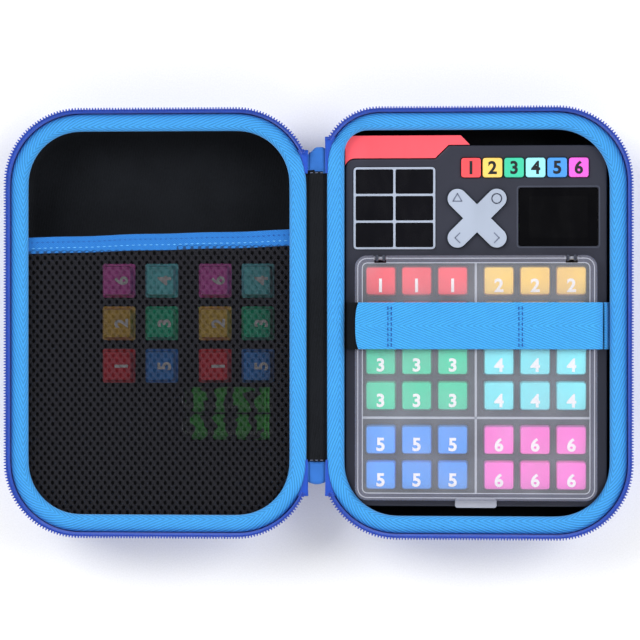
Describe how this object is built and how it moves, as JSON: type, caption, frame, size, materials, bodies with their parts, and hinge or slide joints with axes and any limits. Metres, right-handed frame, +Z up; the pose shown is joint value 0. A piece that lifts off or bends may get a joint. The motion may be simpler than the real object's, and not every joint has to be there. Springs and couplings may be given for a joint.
{
  "type": "number puzzle console in a zip-up carrying case",
  "caption": "Hard zip-up case, open flat: a number-placing game console strapped into the base under a clear tile cover, and a mesh pocket of spare tiles in the lid.",
  "frame": {"origin": "middle of the underside of the open case, on the surface that it lies on", "axes": "+Z up, +X from the lid to the base across the spine, +Y along the spine towards the console's screen end"},
  "size_m": [0.3378, 0.2316, 0.033],
  "materials": {
    "shell_cloth": "blue woven cloth moulded over foam",
    "webbing": "azure herringbone tape",
    "zip": "royal blue zip tape and coil",
    "zip_slider": "blue enamel",
    "lining": "black brushed knit",
    "hook_tape": "black hook and loop tape",
    "mesh": "black knitted mesh",
    "housing": "charcoal satin plastic",
    "coral_plastic": "coral satin plastic",
    "light_plastic": "light grey satin plastic",
    "screen": "gloss black window",
    "clear_cover": "frosted clear plastic",
    "board": "green solder mask",
    "cell": "green printed sleeve",
    "tile_red": "satin plastic",
    "tile_gold": "satin plastic",
    "tile_green": "satin plastic",
    "tile_cyan": "satin plastic",
    "tile_blue": "satin plastic",
    "tile_pink": "satin plastic",
    "key_red": "translucent key, satin",
    "key_gold": "translucent key, satin",
    "key_green": "translucent key, satin",
    "key_cyan": "translucent key, satin",
    "key_blue": "translucent key, satin",
    "key_pink": "translucent key, satin"
  },
  "bodies": {
    "base": {"base_shell": "shell_cloth", "base_lining": "lining", "base_binding": "webbing", "base_zip_tape": "zip", "base_zip_teeth": "zip", "strap_root": "webbing", "hook_strap": "hook_tape", "console_bottom": "housing", "console_top": "housing", "battery_door": "housing", "circuit_board": "board", "grid_panel": "light_plastic", "screen_lens": "screen", "tile_tray": "housing", "console_cell_1": "cell", "console_cell_2": "cell", "tray_tiles_1": "tile_red", "tray_tiles_2": "tile_gold", "tray_tiles_3": "tile_green", "tray_tiles_4": "tile_cyan", "tray_tiles_5": "tile_blue", "tray_tiles_6": "tile_pink"},
    "spine": {"spine_cloth": "shell_cloth", "spine_lining": "lining", "zip_slider_top": "zip_slider", "zip_slider_bottom": "zip_slider"},
    "lid": {"lid_shell": "shell_cloth", "lid_lining": "lining", "lid_binding": "webbing", "lid_zip_tape": "zip", "lid_zip_teeth": "zip", "mesh_pocket": "mesh", "pocket_hem": "webbing", "pocket_tile_1_1": "tile_cyan", "pocket_tile_1_2": "tile_pink", "pocket_tile_1_3": "tile_cyan", "pocket_tile_1_4": "tile_pink", "pocket_tile_2_1": "tile_green", "pocket_tile_2_2": "tile_gold", "pocket_tile_2_3": "tile_green", "pocket_tile_2_4": "tile_gold", "pocket_tile_3_1": "tile_blue", "pocket_tile_3_2": "tile_red", "pocket_tile_3_3": "tile_blue", "pocket_tile_3_4": "tile_red", "spare_cell_1": "cell", "spare_cell_2": "cell"},
    "strap": {"hold_strap": "webbing"},
    "cover": {"tile_cover": "clear_cover"},
    "red_button": {"red_button": "coral_plastic"},
    "x_pad": {"x_pad": "light_plastic"},
    "pull_top": {"zip_pull_top": "zip_slider"},
    "pull_bottom": {"zip_pull_bottom": "zip_slider"},
    "key_1": {"number_key_1": "key_red"},
    "key_2": {"number_key_2": "key_gold"},
    "key_3": {"number_key_3": "key_green"},
    "key_4": {"number_key_4": "key_cyan"},
    "key_5": {"number_key_5": "key_blue"},
    "key_6": {"number_key_6": "key_pink"}
  },
  "joints": [
    {"name": "spine_fold", "type": "hinge", "parent": "base", "child": "spine", "pos_m": [0.0055, 0, 0.0275], "axis": [0, 1, 0], "range_deg": [0, 90]},
    {"name": "lid_fold", "type": "hinge", "parent": "spine", "child": "lid", "pos_m": [-0.0055, 0, 0.0275], "axis": [0, 1, 0], "range_deg": [0, 90]},
    {"name": "strap_peel", "type": "hinge", "parent": "base", "child": "strap", "pos_m": [0.1529, -0.0015, 0.0273], "axis": [0, -1, 0], "range_deg": [-130, 0]},
    {"name": "cover_hinge", "type": "hinge", "parent": "base", "child": "cover", "pos_m": [0.0852, 0.0347, 0.0261], "axis": [1, 0, 0], "range_deg": [-100, 0], "deforming": ["hold_strap", "hook_strap"]},
    {"name": "red_button_press", "type": "slide", "parent": "base", "child": "red_button", "axis": [0, 0, -1], "range_m": [0, 0.0012], "stiffness_N_per_m": 1500},
    {"name": "x_pad_press", "type": "slide", "parent": "base", "child": "x_pad", "axis": [0, 0, -1], "range_m": [0, 0.0008], "stiffness_N_per_m": 600},
    {"name": "pull_top_swing", "type": "hinge", "parent": "spine", "child": "pull_top", "pos_m": [0, 0.0854, 0.0199], "axis": [1, 0, 0], "range_deg": [-40, 40]},
    {"name": "pull_bottom_swing", "type": "hinge", "parent": "spine", "child": "pull_bottom", "pos_m": [0, -0.0776, 0.0199], "axis": [1, 0, 0], "range_deg": [-40, 40]},
    {"name": "number_key_1_press", "type": "slide", "parent": "base", "child": "key_1", "axis": [0, 0, -1], "range_m": [0, 0.0008], "stiffness_N_per_m": 400},
    {"name": "number_key_2_press", "type": "slide", "parent": "base", "child": "key_2", "axis": [0, 0, -1], "range_m": [0, 0.0008], "stiffness_N_per_m": 400},
    {"name": "number_key_3_press", "type": "slide", "parent": "base", "child": "key_3", "axis": [0, 0, -1], "range_m": [0, 0.0008], "stiffness_N_per_m": 400},
    {"name": "number_key_4_press", "type": "slide", "parent": "base", "child": "key_4", "axis": [0, 0, -1], "range_m": [0, 0.0008], "stiffness_N_per_m": 400},
    {"name": "number_key_5_press", "type": "slide", "parent": "base", "child": "key_5", "axis": [0, 0, -1], "range_m": [0, 0.0008], "stiffness_N_per_m": 400},
    {"name": "number_key_6_press", "type": "slide", "parent": "base", "child": "key_6", "axis": [0, 0, -1], "range_m": [0, 0.0008], "stiffness_N_per_m": 400}
  ],
  "couplings": [
    {"joint": "lid_fold", "follows": "spine_fold", "ratio": 1}
  ]
}
